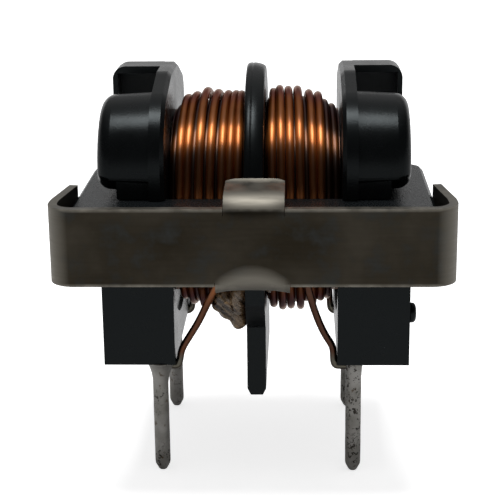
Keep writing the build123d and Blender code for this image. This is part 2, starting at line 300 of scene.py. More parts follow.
def makeMoulding():
    look = mouldingLook
    finish, tree, shader, where = newFinish("blackMoulding")
    cloud = noiseAt(tree, where, *look["cloud"])
    fine = noiseAt(tree, where, *look["fine"])
    colour = blendColours(tree, cloud, look["dark"], look["light"])
    dust = spotsAt(tree, where, *look["dustSpots"])
    # painted light: inside the pocket the colour is made lighter
    colour = blendColours(tree, insidePocket(tree, where), colour, look["dullTinAndPaintedPocketLight"])
    tree.links.new(blendColours(tree, dust, colour, look["dust"]), shader.inputs["Base Color"])
    tree.links.new(fitted(tree, cloud, *noiseSpan, *look["rough"]), shader.inputs["Roughness"])
    soft = bumpFrom(tree, cloud, *look["cloudBump"])
    tree.links.new(bumpFrom(tree, fine, *look["fineBump"], soft), shader.inputs["Normal"])
    shader.inputs["Specular IOR Level"].default_value = look["shine"]
    shader.inputs["Specular Tint"].default_value = (*look["shineTint"], 1)
    return finish


ferriteLook = {
    "dark": (0.004, 0.0048, 0.0052),
    "light": (0.009, 0.0105, 0.0115),
    "cloud": (0.6, 5),
    "grain": (16, 3, 0.7),
    "pit": (0.002, 0.002, 0.0025),
    "pits": (4, 0.16, 0.25),
    "rough": (0.22, 0.32),
    "grainBump": (0.012, 0.5),
    "shine": 0.06,
}


def makeFerrite():
    look = ferriteLook
    finish, tree, shader, where = newFinish("greyFerrite")
    cloud = noiseAt(tree, where, *look["cloud"])
    grain = noiseAt(tree, where, *look["grain"])
    colour = blendColours(tree, cloud, look["dark"], look["light"])
    pits = spotsAt(tree, where, *look["pits"])
    tree.links.new(blendColours(tree, pits, colour, look["pit"]), shader.inputs["Base Color"])
    tree.links.new(fitted(tree, grain, *noiseSpan, *look["rough"]), shader.inputs["Roughness"])
    tree.links.new(bumpFrom(tree, grain, *look["grainBump"]), shader.inputs["Normal"])
    shader.inputs["Specular IOR Level"].default_value = look["shine"]
    return finish


clipLook = {
    "steel": (0.038, 0.033, 0.025),
    "stain": (0.020, 0.0165, 0.011),
    "stains": (0.45, 4),
    "blue": (0.030, 0.033, 0.033),
    "blotches": (0.9, 3, 0.6),
    "blotchEdge": (0.50, 0.70, 0, 0.7),
    "brushed": (9, 3, 0.6, (0.06, 0.06, 1.0)),
    "brushedBump": (0.006, 0.4),
    "rough": (0.36, 0.50),
    # painted highlight colour, used on the tabs' bends and lip, the long edges and the rounded ends
    "paintedShineColour": (0.175, 0.163, 0.138),
    "paintedShineRough": 0.10,
    # painted highlight: the two places it changes between, then how much there is at each
    "tabMiddle": 0.085,
    "tabSide": (1.20, 1.15, 0, 1),
    "tabFoot": (1.43, 1.50, 0, 1),
    "tabBend": (-6.45, -6.85, 0, 1),
    "tabLip": (-5.66, -5.58, 0, 0.7),
    "tabTop": 0.34,
    "archRise": 0.30,
    "archFoot": (-0.62, -1.20, 0, 0.82),
    "archSide": (1.5, 1.2, 0, 1),
    "longEdge": (1.37, 1.47, 0, 1),
    "patches": (1.7, 3),
    "patchShine": (0.35, 0.65, 0.5, 1.0),
    "ends": (6.9, 7.6, 0, 0.9),
}


def paintedShineOn(tree, where):
    # 1 where highlights and reflections are painted bright on the sheet: the tabs, the long edges and the
    # rounded ends
    x, y, z = axesOf(tree, where)
    up = workOut(tree, "SUBTRACT", z, clipMiddle)
    aside = workOut(tree, "ABSOLUTE", x)
    fromTab = workOut(tree, "ABSOLUTE", workOut(tree, "SUBTRACT", x, clipLook["tabMiddle"]))

    def shineBetween(place, value):
        return fitted(tree, value, *clipLook[place])

    # painted highlight on the upper tab's bend and its lip
    onPaintedShine = workOut(tree, "MAXIMUM", shineBetween("tabBend", y), shineBetween("tabLip", y))
    upperTab = workOut(tree, "MULTIPLY", shineBetween("tabFoot", up), shineBetween("tabSide", fromTab))
    upperTab = workOut(tree, "MULTIPLY", upperTab, workOut(tree, "MAXIMUM", onPaintedShine, clipLook["tabTop"]))
    # the lower tab's bend starts along an arch: height + rise * x ^ 2
    arch = workOut(tree, "MULTIPLY", workOut(tree, "POWER", aside, 2.0), clipLook["archRise"])
    lowerTab = shineBetween("archFoot", workOut(tree, "ADD", up, arch))
    lowerTab = workOut(tree, "MULTIPLY", lowerTab, shineBetween("archSide", aside))
    patches = noiseAt(tree, where, *clipLook["patches"])
    # painted highlight along the long edges, made patchy by a noise
    edges = shineBetween("longEdge", workOut(tree, "ABSOLUTE", up))
    most = workOut(tree, "MULTIPLY", edges, shineBetween("patchShine", patches))
    for part in (upperTab, lowerTab, shineBetween("ends", aside)):
        most = workOut(tree, "MAXIMUM", most, part)
    return most


def makeClipSteel():
    look = clipLook
    finish, tree, shader, where = newFinish("springSteel")
    stains = noiseAt(tree, where, *look["stains"])
    blotch = noiseAt(tree, where, *look["blotches"])
    brushed = noiseAt(tree, where, *look["brushed"])
    colour = blendColours(tree, fitted(tree, stains, *toneEdge, 0, 1), look["steel"], look["stain"])
    colour = blendColours(tree, fitted(tree, blotch, *look["blotchEdge"]), colour, look["blue"])
    # painted highlights and reflections: the base colour turns bright where they are painted
    paintedShine = paintedShineOn(tree, where)
    tree.links.new(blendColours(tree, paintedShine, colour, look["paintedShineColour"]), shader.inputs["Base Color"])
    rough = fitted(tree, brushed, *noiseSpan, *look["rough"])
    onPaintedShine = workOut(tree, "MULTIPLY", paintedShine, look["paintedShineRough"])
    tree.links.new(workOut(tree, "ADD", rough, onPaintedShine), shader.inputs["Roughness"])
    tree.links.new(bumpFrom(tree, brushed, *look["brushedBump"]), shader.inputs["Normal"])
    shader.inputs["Metallic"].default_value = 1.0
    return finish


wireLook = {
    "copper": (0.35, 0.110, 0.025),
    "shade": (0.26, 0.077, 0.017),
    "cloud": (0.7, 2),
    # each finish, with how much of the colour it keeps above and underneath; keeping less is painted shade:
    # the leads, lower layers and core get darker copies of the one copper, and each copy darkens underneath
    "wires": (("enamelledCopper", 1.0, 0.35), ("leadPaintedShadeCopper", 0.64, 0.30), ("shadedCopper", 0.2, 0.2)),
    # painted shade: between these heights below the windings' axis the copper turns darker
    "underneath": (-2.4, -3.6),  # from the windings' axis
    "solder": (0.075, 0.068, 0.050),
    "tinned": (0.45, 0.1),  # above the leg blocks' underside
    "rough": (0.34, 0.38),
    "across": 0.93,  # drawn wire spreads a highlight across itself and keeps it short along itself
    "rim": (0.42, 0.28, 0.20),
    "coat": 0.42,
    "coatRough": 0.28,
}


def makeWire(name, depth, underDepth):
    look = wireLook
    finish, tree, shader, where = newFinish(name)
    cloud = noiseAt(tree, where, *look["cloud"])
    shade, bright = (tuple(depth * c for c in look[key]) for key in ("shade", "copper"))
    colour = blendColours(tree, fitted(tree, cloud, *toneEdge, 0, 1), shade, bright)
    height = axesOf(tree, where)[2]
    # painted shade: below the windings' axis the colour is blended to a darker copper
    under = fitted(tree, height, *(axisZ + drop for drop in look["underneath"]), 0, 1)
    colour = blendColours(tree, under, colour, tuple(underDepth * c for c in look["shade"]))
    tinned = fitted(tree, height, *(blockBase + rise for rise in look["tinned"]), 0, 1)
    tree.links.new(blendColours(tree, tinned, colour, look["solder"]), shader.inputs["Base Color"])
    along = tree.nodes.new("ShaderNodeTangent")
    along.direction_type = "RADIAL"
    along.axis = "X"
    tree.links.new(along.outputs["Tangent"], shader.inputs["Tangent"])
    shader.inputs["Anisotropic"].default_value = look["across"]
    shader.inputs["Anisotropic Rotation"].default_value = 0.25  # a quarter turn
    tree.links.new(fitted(tree, cloud, *noiseSpan, *look["rough"]), shader.inputs["Roughness"])
    shader.inputs["Specular Tint"].default_value = (*look["rim"], 1)
    shader.inputs["Coat Weight"].default_value = look["coat"]
    shader.inputs["Coat Roughness"].default_value = look["coatRough"]
    shader.inputs["Metallic"].default_value = 1.0
    return finish


tinLook = {
    "tin": (0.25, 0.243, 0.228),
    "dullTinAndPaintedPocketLight": (0.15, 0.143, 0.128),
    "cloud": (1.1, 4),
    "grain": (12, 3, 0.6),
    # flecks gather in clusters, with a few brown stains among them
    "fleck": (0.025, 0.021, 0.017),
    "clusters": (0.9, 1),
    "clusterEdge": (0.44, 0.58, 0, 1),
    "specks": (7.5, 2, 0.7),
    "speckEdge": (0.55, 0.62, 0, 1),
    "rust": (0.060, 0.034, 0.014),
    "stains": (2.6, 3),
    "stainEdge": (0.64, 0.70, 0, 0.7),
    "rough": (0.38, 0.55),
    "grainBump": (0.02, 0.5),
    "metal": 0.75,
}


def makeTin():
    look = tinLook
    finish, tree, shader, where = newFinish("dullTin")
    cloud = noiseAt(tree, where, *look["cloud"])
    grain = noiseAt(tree, where, *look["grain"])
    colour = blendColours(tree, fitted(tree, cloud, *toneEdge, 0, 1), look["tin"], look["dullTinAndPaintedPocketLight"])
    cluster = fitted(tree, noiseAt(tree, where, *look["clusters"]), *look["clusterEdge"])
    speck = fitted(tree, noiseAt(tree, where, *look["specks"]), *look["speckEdge"])
    colour = blendColours(tree, workOut(tree, "MULTIPLY", cluster, speck), colour, look["fleck"])
    stains = fitted(tree, noiseAt(tree, where, *look["stains"]), *look["stainEdge"])
    tree.links.new(blendColours(tree, stains, colour, look["rust"]), shader.inputs["Base Color"])
    tree.links.new(fitted(tree, grain, *noiseSpan, *look["rough"]), shader.inputs["Roughness"])
    tree.links.new(bumpFrom(tree, grain, *look["grainBump"]), shader.inputs["Normal"])
    shader.inputs["Metallic"].default_value = look["metal"]
    return finish


resinLook = {
    # painted highlight: pale streaks of this colour stand in for glints along the resin's ridges
    "clear": (0.44, 0.30, 0.165),
    "brown": (0.044, 0.025, 0.012),
    "slant": -0.733,  # turn of the streaks, in radians: they run down toward the partition
    "streaks": (2.4, 3, 0.55, (0.35, 1.0, 2.0)),
    "streakEdge": (0.42, 0.62, 0, 1),
    "streakBump": (0.12, 0.8),
    "cloud": (1.6, 4),
    "cloudBump": (0.1, 0.5),
    "rough": 0.14,
    "clearness": 0.65,
    "refraction": 1.5,
}


def makeResin():
    look = resinLook
    finish, tree, shader, where = newFinish("amberResin")
    cloud = noiseAt(tree, where, *look["cloud"])
    slant = tree.nodes.new("ShaderNodeMapping")
    slant.inputs["Rotation"].default_value = (0, look["slant"], 0)
    tree.links.new(where, slant.inputs["Vector"])
    streaks = noiseAt(tree, slant.outputs["Vector"], *look["streaks"])
    # painted highlight: pale streaks mixed into the brown colour
    colour = blendColours(tree, fitted(tree, streaks, *look["streakEdge"]), look["brown"], look["clear"])
    tree.links.new(colour, shader.inputs["Base Color"])
    soft = bumpFrom(tree, cloud, *look["cloudBump"])
    tree.links.new(bumpFrom(tree, streaks, *look["streakBump"], soft), shader.inputs["Normal"])
    shader.inputs["Roughness"].default_value = look["rough"]
    shader.inputs["Transmission Weight"].default_value = look["clearness"]
    shader.inputs["IOR"].default_value = look["refraction"]
    return finish


moulding, ferrite, clipSteel = makeMoulding(), makeFerrite(), makeClipSteel()
copper, leadPaintedShadeCopper, shadedCopper = (makeWire(*wire) for wire in wireLook["wires"])
tin, resin = makeTin(), makeResin()
print("finishes ready")


def dress(nodeName, material):
    # a CAD piece keeps its mesh and only gets its finish
    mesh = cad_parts[nodeName].data
    mesh.materials.clear()
    mesh.materials.append(material)


dress("bobbin", moulding)
dress("core_left", ferrite)
dress("core_right", ferrite)
dress("clip", clipSteel)
for row in ("front", "rear"):
    for side in ("left", "right"):
        dress(f"pin_{row}_{side}", tin)
        dress(f"solder_{row}_{side}", tin)
for side in ("left", "right"):
    dress(f"resin_{side}", resin)
print("kept pieces dressed")


# Windings: helical layers of one wire, mirrored in the two chambers

winding = {
    "wireRadius": 0.165,
    "sides": 14,
    "stepsPerTurn": 84,
    # share of a turn, counted from underneath up the front, where the wire starts to cross to the next turn
    "shiftFrom": 0.27,
    "shiftTo": 0.95,
    # each turn: distance from the partition's middle, radius at the front, further radius over the top
    "left": {
        "turns": [(2.98, 4.28, 0.02), (2.68, 4.30, 0.02), (2.20, 4.50, 0.12), (1.76, 4.48, 0.05),
                  (1.30, 4.44, 0.02), (0.98, 4.44, 0.02), (0.65, 4.44, 0.0)],
        "under_turns": [(3.27, 3.78, 0), (2.83, 4.06, 0), (2.44, 4.17, 0), (1.98, 4.20, 0.02),
                        (1.53, 4.17, 0), (1.14, 4.17, 0), (0.81, 4.17, 0)],
    },
    "right": {
        "turns": [(2.65, 4.36, 0.03), (2.33, 4.36, 0.03), (1.82, 4.52, 0.14), (1.42, 4.50, 0.08),
                  (1.07, 4.54, 0.18), (0.69, 4.44, 0.10)],
        "under_turns": [(3.20, 3.80, 0), (2.94, 4.06, 0), (2.49, 4.10, 0), (2.07, 4.18, 0),
                        (1.62, 4.20, 0.02), (1.24, 4.20, 0), (0.88, 4.18, 0.04), (0.58, 4.14, 0)],
    },
    "inner_turns": [(3.24, 3.82, 0), (2.90, 3.88, 0), (2.57, 3.90, 0), (2.24, 3.92, 0), (1.91, 3.92, 0),
                    (1.58, 3.92, 0), (1.25, 3.92, 0), (0.92, 3.92, 0), (0.60, 3.92, 0)],
    "dive": 0.5,  # how far both ends of the wire go down under the turns
    "diveTurn": 0.12,
    # the plain core that fills the space under the layers
    "coreRadius": 3.84,
    "coreInside": 2.75,
    "coreEnds": (0.43, 3.40),
    "coreSides": 72,
}


def layerPath(turns, side):
    # x and radius pass from one turn to the next while the wire crosses over the top and down behind
    turns = np.array(turns, float)
    count = len(turns)
    t = np.linspace(0, count - 1e-6, count * winding["stepsPerTurn"])
    k = t.astype(int)
    after = np.minimum(k + 1, count - 1)
    share = smoothStep((t - k - winding["shiftFrom"]) / (winding["shiftTo"] - winding["shiftFrom"]))[:, None]
    x, front, top = (turns[k] + (turns[after] - turns[k]) * share).T
    angle = 2 * np.pi * t - np.pi / 2
    dive = smoothStep(1 - t / winding["diveTurn"]) + smoothStep(1 - (count - t) / winding["diveTurn"])
    radius = front + top * np.clip(np.sin(angle), 0, 1) ** 2 - winding["dive"] * dive
    return np.stack([side * x, -radius * np.cos(angle), axisZ + radius * np.sin(angle)], -1)


def makeWinding(name, side):
    # each layer is the wire's circle carried along its path; the core is a square loop turned about the axis
    layers = {**winding[name], "inner_turns": winding["inner_turns"]}
    for part, turns in layers.items():
        # painted shade: the lower layers and the core get the darker copy of the copper
        material = copper if part == "turns" else shadedCopper
        rings = wireAlong(layerPath(turns, side), winding["wireRadius"], winding["sides"], across=(1, 0, 0))
        piece = addPiece(f"winding_{name}_{part}", *closedTube(rings), material, "enamelled_wire")
        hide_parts(f"winding_{name}")
    start, end = winding["coreEnds"]
    inside, outside = winding["coreInside"], winding["coreRadius"]
    loop = [(inside, side * start), (outside, side * start), (outside, side * end), (inside, side * end)]
    core = spunLoop(loop, winding["coreSides"])
    piece = addPiece(f"winding_{name}_core_turns", *core, shadedCopper, "enamelled_wire", smooth=False)
    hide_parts(f"winding_{name}")


for name, side in (("left", -1), ("right", 1)):
    makeWinding(name, side)
print("windings wound")


# Rim of the partition: a lightly crowned cap over the disc's edge, with a parting groove along its crown

rim = {
    "halfWidth": 0.392,
    "shoulder": 5.30,
    "top": 5.766,
    "power": 9.0,
    "from": 21.2,  # degrees above the axis at the front
    "to": 157.0,
    "inside": 5.15,
    "insideHalf": 0.37,
    "crownAt": -0.13,
    "crownFall": 0.5,
    "grooveDepth": 0.02,
    "grooveWidth": 0.022,
    "across": 91,  # points across the cap and along it
    "along": 110,
}


def makeRim():
    # radius = shoulder + rise * (1 - |x / half width| ^ power) ^ (1 / power), where the rise falls away from
    # the crown as the square of the distance and has a narrow groove on it
    x = rim["halfWidth"] * np.sin(np.linspace(-1, 1, rim["across"]) * np.pi / 2)
    fromCrown = x - rim["crownAt"]
    rise = rim["top"] - rim["shoulder"] - rim["crownFall"] * fromCrown**2
    rise -= rim["grooveDepth"] * np.exp(-((fromCrown / rim["grooveWidth"]) ** 2))
    radius = rim["shoulder"] + rise * (1 - np.abs(x / rim["halfWidth"]) ** rim["power"]) ** (1 / rim["power"])
    x = np.concatenate([x, [rim["insideHalf"], -rim["insideHalf"]]])
    radius = np.concatenate([radius, [rim["inside"], rim["inside"]]])
    turn = np.radians(np.linspace(rim["from"], rim["to"], rim["along"]))[:, None]
    rings = np.stack([x + 0 * turn, -radius * np.cos(turn), axisZ + radius * np.sin(turn)], -1)
    addPiece("partition_rim", *closedTube(rings), moulding, "moulding")


makeRim()


# Bead where the moulding gate was trimmed, on the end of the right leg block

bead = {
    "forward": 2.9,
    "rise": 1.9,
    "across": 0.40,
    "upright": 0.42,
    "height": 0.237,
    "power": 3.2,
    "stub": 0.1,  # depth of its edge in the block
    "underside": 0.3,  # share of the dome's height that goes further in
    "rings": 16,
    "spins": 36,
}


def makeBead():
    # a dome on an oval: height * (1 - r ^ power) ^ (1 / power), with a shallow one back to back with it
    r = np.sin(np.linspace(0, np.pi / 2, bead["rings"]))[:, None]
    turn = np.linspace(0, 2 * np.pi, bead["spins"], endpoint=False)[None, :]
    lift = bead["height"] * (1 - r ** bead["power"]) ** (1 / bead["power"])
    lift = np.concatenate([lift, -lift[-2::-1] * bead["underside"]])[1:-1]
    r = np.concatenate([r, r[-2::-1]])[1:-1]
    x = blockEnd - bead["stub"] + lift + 0 * turn
    y = -bead["forward"] + bead["across"] * r * np.cos(turn)
    z = blockBase + bead["rise"] + bead["upright"] * r * np.sin(turn)
    addPiece("gate_bead", *closedTube(np.stack([x, y, z], -1)), moulding, "moulding")


makeBead()
print("rim and bead added")


# Leads: from the last turn down the inner side of the leg block and under it to the pin

leadUnder = blockBase - 0.2  # height of a lead's middle under the blocks
leads = {
    "radius": 0.15,
    "sides": 14,
    "steps": 120,
    # each lead starts on its turn, at (x, radius, degrees above the axis), and goes on through (x, y, height)
    "front_left": {
        "onTurn": [(-1.10, 4.50, -2), (-1.20, 4.52, -15), (-1.42, 4.56, -29)],
        "free": [(-1.74, -4.02, 3.78), (-2.08, -3.72, 3.04), (-2.35, -3.55, 2.43), (-2.62, -3.50, 1.98),
                 (-2.87, -pinY, 1.58), (-3.10, -pinY, 1.20), (-3.16, -pinY, 0.80), (-3.22, -pinY, leadUnder),
                 (-3.45, -pinY, leadUnder), (-pinX + 0.3, -pinY, leadUnder)],
    },
    "front_right": {
        "onTurn": [(1.86, 4.50, -2), (1.92, 4.52, -15), (2.02, 4.56, -29)],
        "free": [(2.18, -4.02, 3.74), (2.39, -3.72, 2.94), (2.64, -3.55, 2.22), (2.90, -3.50, 1.70),
                 (3.13, -pinY, 1.38), (3.17, -pinY, 1.08), (3.17, -pinY, 0.78), (3.22, -pinY, leadUnder),
                 (3.45, -pinY, leadUnder), (pinX - 0.3, -pinY, leadUnder)],
    },
    # the rear leads are mirror images of each other, given here for the right side
    "rear": {
        "onTurn": [(3.0, 4.10, -2), (3.0, 4.12, -15), (3.02, 4.18, -30)],
        "free": [(3.06, 3.58, 3.5), (3.10, 3.52, 2.6), (3.12, 3.50, 1.7), (pinX - 0.84, pinY, 1.10),
                 (pinX - 0.84, pinY, 0.72), (pinX - 0.72, pinY, leadUnder), (pinX - 0.3, pinY, leadUnder)],
    },
}


def makeLead(name, route, row, side, material):
    # y = row * radius * cos a and height = axis + radius * sin a on the turn, then the free points
    x, radius, degrees = np.array(route["onTurn"]).T
    a = np.radians(degrees)
    onTurn = np.stack([x, row * radius * np.cos(a), axisZ + radius * np.sin(a)], -1)
    guides = np.concatenate([onTurn, route["free"]]) * (side, 1, 1)
    path = smoothPath(guides, leads["steps"])
    rings = wireAlong(path, leads["radius"], leads["sides"], across=(0, 1, 0))
    piece = addPiece(f"lead_{name}", *closedTube(rings), material, "enamelled_wire")
    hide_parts("winding_left" if "left" in name else "winding_right")


# painted shade: the leads get darker copies of the copper, the right and rear ones the darkest
makeLead("front_left", leads["front_left"], -1, 1, leadPaintedShadeCopper)
makeLead("front_right", leads["front_right"], -1, 1, shadedCopper)
makeLead("rear_left", leads["rear"], 1, -1, shadedCopper)
makeLead("rear_right", leads["rear"], 1, 1, shadedCopper)
print("leads run")


# Resin: a run of it under the tab, between the left winding and the partition, and a smear on the right

resinShape = {
    # each lump: middle and half sizes
    "left": [((-0.72, -3.15, 2.78), (0.42, 0.60, 0.82)), ((-1.12, -3.15, 3.08), (0.50, 0.55, 0.70)),
             ((-1.48, -3.2, 3.35), (0.42, 0.45, 0.58)), ((-0.70, -3.75, 3.45), (0.36, 0.42, 0.72))],
    "right": [((0.62, -4.10, 4.40), (0.26, 0.22, 0.34)), ((0.55, -3.95, 4.15), (0.20, 0.22, 0.34))],
    "least": 0.12,
    "power": 10,
    "ripple": 0.022,
    "waves": ((9, 0, 5), (0, -7, 13)),  # how fast each ripple runs along X, Y and Z
    "rows": 56,
    "columns": 72,
    "poleGap": 0.002,
}


def makeResinLump(name, lumps):
    # radius = (sum of each lump's reach ^ power) ^ (1 / power) from their common middle, with two ripples
    middles = np.array([lump[0] for lump in lumps])
    sizes = np.array([lump[1] for lump in lumps])
    start = middles.mean(0)
    pole = np.linspace(resinShape["poleGap"], np.pi - resinShape["poleGap"], resinShape["rows"])[:, None]
    turn = np.linspace(0, 2 * np.pi, resinShape["columns"], endpoint=False)[None, :]
    way = np.stack([np.sin(pole) * np.cos(turn), np.sin(pole) * np.sin(turn), np.cos(pole) + 0 * turn], -1)
    total = resinShape["least"] ** resinShape["power"]
    for middle, size in zip(middles, sizes):
        # where the ray from the common middle leaves this lump
        v, o = way / size, (start - middle) / size
        a, b, c = (v * v).sum(-1), (v * o).sum(-1), (o * o).sum() - 1
        inside = b * b - a * c
        leave = np.where(inside > 0, (-b + np.sqrt(np.clip(inside, 0, None))) / a, 0)
        total = total + np.clip(leave, 0, None) ** resinShape["power"]
    ripples = np.sin(way @ np.array(resinShape["waves"]).T).sum(-1)
    radius = total ** (1 / resinShape["power"]) * (1 + resinShape["ripple"] * ripples)
    piece = addPiece(f"resin_{name}_lump", *closedTube(start + way * radius[..., None]), resin, "resin")
    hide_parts(f"resin_{name}")


for side in ("left", "right"):
    makeResinLump(side, resinShape[side])
print("resin set")


# Spring clip: one pressed sheet, with a tab folded over and one under the front leg

clipShape = {
    "sheet": 0.35,
    "halfHeight": 1.51,
    "cornerRadius": 0.825,
    "armStart": (7.555, -6.26),  # on the sheet's middle, where an arm turns in
    "armEnd": (7.195, -3.86),
    "armTurn": 0.4,  # length over which it turns in
    "bevel": 0.06,
    "slit": 0.015,  # between a tab and the band beside it
    # each tab: middle, half width, start and radius of its bend, how both change at its sides, slope, end,
    # how far its corners are rounded off and how far its end curls up
    "upper": {"middle": 0.085, "half": 1.145, "bendFrom": 1.00, "radius": 0.80, "sideChange": 0.24,
              "slope": 2.5, "end": -5.42, "round": 0.14, "lip": 0.10},
    "lower": {"middle": 0.01, "half": 1.41, "bendFrom": 0.92, "radius": 0.80, "sideChange": 0.42,
              "slope": 0.0, "end": -5.0, "round": 0.10, "lip": 0.0},
    "lipLength": 0.3,
    "wallUpTo": 0.2,  # below this height the sheet is never folded
    # how finely it is divided
    "tabPart": (1.9, 38),  # half its width, cells
    "frontPart": (2.0, 19),  # where it starts, cells
    "cornerCells": 12,
    "turnColumns": (-0.15, -0.05, 0.05, 0.15),
    "armFrom": 0.3,
    "armCells": 7,
    "leastCell": 0.012,
    "middleCells": 24,
    "tabCells": 26,
    "bandCells": 5,
}
clipTabs = ((clipShape["upper"], 1), (clipShape["lower"], -1))
clipY = clipFront + clipShape["sheet"] / 2
sameColumn = 1e-4


def clipBends():
    # distances from the middle of the front to the corner, to its end and to the arm, and the arm's tilt
    radius = clipShape["cornerRadius"]
    (startX, startY), (endX, endY) = clipShape["armStart"], clipShape["armEnd"]
    corner = startX - radius
    cornerEnd = corner + radius * np.pi / 2
    return corner, cornerEnd, cornerEnd + startY - (clipY + radius), np.arctan2(startX - endX, endY - startY)


def clipColumns():
    # distances along the sheet, both ways from the middle of the front; the sides of the tabs and of the
    # slits beside them have columns of their own
    corner, cornerEnd, armStart, tilt = clipBends()
    (startX, startY), (endX, endY) = clipShape["armStart"], clipShape["armEnd"]
    tabPart, tabCells = clipShape["tabPart"]
    frontPart, frontCells = clipShape["frontPart"]
    armLength = np.hypot(startX - endX, startY - endY)
    side = np.concatenate([
        np.linspace(frontPart, corner, frontCells + 1),
        np.linspace(corner, cornerEnd, clipShape["cornerCells"] + 1)[1:],
        armStart + np.array(clipShape["turnColumns"]),
        armStart + np.linspace(clipShape["armFrom"], armLength, clipShape["armCells"] + 1)])
    marks = [tab["middle"] + way * (tab["half"] + gap)
             for tab, up in clipTabs for way in (-1, 1) for gap in (0, clipShape["slit"])]
    middle = np.unique(np.round(np.concatenate([marks, np.linspace(-tabPart, tabPart, tabCells + 1)]), 5))
    apart = np.concatenate([[True], np.diff(middle) > clipShape["leastCell"]])
    middle = middle[apart | np.isin(middle, np.round(marks, 5))]
    return np.concatenate([-side[::-1], middle, side])


def clipPlace(s):
    # point and outward way of the sheet's middle line at the distance s: straight, then round the corner
    # (radius * sin a, radius * (1 - cos a)), then straight and turned in by the tilt
    corner, cornerEnd, armStart, tilt = clipBends()
    radius, turnLength = clipShape["cornerRadius"], clipShape["armTurn"]
    away = np.abs(s)
    a = np.clip((away - corner) / radius, 0, np.pi / 2)
    beyond = np.maximum(away - cornerEnd, 0)
    onArm = beyond - (armStart - cornerEnd)
    # the arm turns in over a short length; its inward way there is the running sum of the small turned angle
    turning = np.clip(onArm + turnLength / 2, 0, turnLength)
    inward = turning**2 / (2 * turnLength) * tilt + np.maximum(onArm - turnLength / 2, 0) * np.sin(tilt)
    x = np.minimum(away, corner) + radius * np.sin(a) - inward
    y = clipY + radius * (1 - np.cos(a)) + np.minimum(beyond, armStart - cornerEnd)
    y += np.maximum(onArm, 0) * np.cos(tilt)
    heading = np.where(beyond > 0, np.pi / 2 + turning / turnLength * tilt, a)
    sign = np.where(s < 0, -1, 1)
    return x * sign, y, np.sin(heading) * sign, -np.cos(heading)


def tabBend(tab, x):
    # how far x is to the tab's side, and the start, radius and angle of the bend there
    across = np.clip(np.abs(x - tab["middle"]) / tab["half"], 0, 1)
    change = tab["sideChange"] * across**3
    return across, tab["bendFrom"] + change, tab["radius"] - change, np.pi / 2 - np.radians(tab["slope"])


def tabPoint(tab, x, t, w, up):
    # the sheet's wall runs up to the bend, turns round it and then runs back, rising by the slope; its end
    # curls up as the square of the distance
    across, start, radius, full = tabBend(tab, x)
    phi = np.clip((t - start) / radius, 0, full)
    rest = np.clip(t - start - radius * full, 0, None)
    y = clipY + radius * (1 - np.cos(phi)) + rest * np.sin(full)
    z = np.minimum(t, start) + radius * np.sin(phi) + rest * np.cos(full)
    z += tab["lip"] * np.clip((y - tab["end"]) / clipShape["lipLength"] + 1, 0, 1) ** 2
    return x, y - w * np.cos(phi), clipMiddle + up * (z + w * np.sin(phi))


def tabLength(tab, x):
    # length of the wall, the bend and the run back, less the rounding of the corners
    across, start, radius, full = tabBend(tab, x)
    bendEnd = clipY + radius * (1 - np.cos(full))
    return start + radius * full + (tab["end"] - bendEnd) / np.sin(full) - tab["round"] * across**6


def clipSkin(s, t, w):
    # one face of the sheet, w out from its middle, at the distance s along it and t up its wall
    x, y, outX, outY = clipPlace(s)
    skin = np.stack([x + outX * w, y + outY * w, clipMiddle + t], -1)
    for tab, up in clipTabs:
        folded = np.stack(tabPoint(tab, s, up * t, w, up), -1)
        within = (np.abs(s - tab["middle"]) < tab["half"] + sameColumn) & (up * t > clipShape["wallUpTo"])
        skin[within] = folded[within]
    return skin


def clipBlock(columns, low, high, cells):
    # places (s, t) of a grid whose rows go evenly from low to high, either of which may differ by column
    share = np.linspace(0, 1, cells + 1)[:, None]
    return np.stack([columns + 0 * share, low + (high - low) * share + 0 * columns], -1)


def clipCells():
    # a block over the whole middle, then above and below it one for the tab and two for the band beside it
    columns = clipColumns()
    starts = [tab["bendFrom"] + tab["sideChange"] for tab, up in clipTabs]
    blocks = [clipBlock(columns, -starts[1], starts[0], clipShape["middleCells"])]
    for (tab, up), start in zip(clipTabs, starts):
        fromTab = columns - tab["middle"]
        onTab = columns[np.abs(fromTab) < tab["half"] + sameColumn]
        ends = [(onTab, tabLength(tab, onTab), clipShape["tabCells"])]
        for way in (-1, 1):
            besideTab = columns[way * fromTab > tab["half"] + clipShape["slit"] - sameColumn]
            ends.append((besideTab, clipShape["halfHeight"], clipShape["bandCells"]))
        for part, end, cells in ends:
            block = clipBlock(part, up * start, up * end, cells)
            blocks.append(block[::up])
    # each block's cells, then one number for all points that share a place
    quads, count = [], 0
    for block in blocks:
        rows, across = block.shape[:2]
        number = count + np.arange(rows * across).reshape(rows, across)
        corners = [number[:-1, :-1], number[:-1, 1:], number[1:, 1:], number[1:, :-1]]
        quads.append(np.stack(corners, -1).reshape(-1, 4))
        count += rows * across
    places = np.concatenate([block.reshape(-1, 2) for block in blocks])
    first, same = np.unique(np.round(places, 6), axis=0, return_index=True, return_inverse=True)[1:]
    return places[first], same.reshape(-1)[np.concatenate(quads)]


def sheetSolid(outer, inner, quads):
    # two skins joined by a wall wherever an edge belongs to a single cell
    count = len(outer)
    edges = np.concatenate([quads[:, [k, (k + 1) % 4]] for k in range(4)])
    where, times = np.unique(np.sort(edges, 1), axis=0, return_index=True, return_counts=True)[1:]
    border = edges[where[times == 1]]
    wall = np.stack([border[:, 1], border[:, 0], border[:, 0] + count, border[:, 1] + count], -1)
    return np.concatenate([outer, inner]), np.concatenate([quads, quads[:, ::-1] + count, wall])


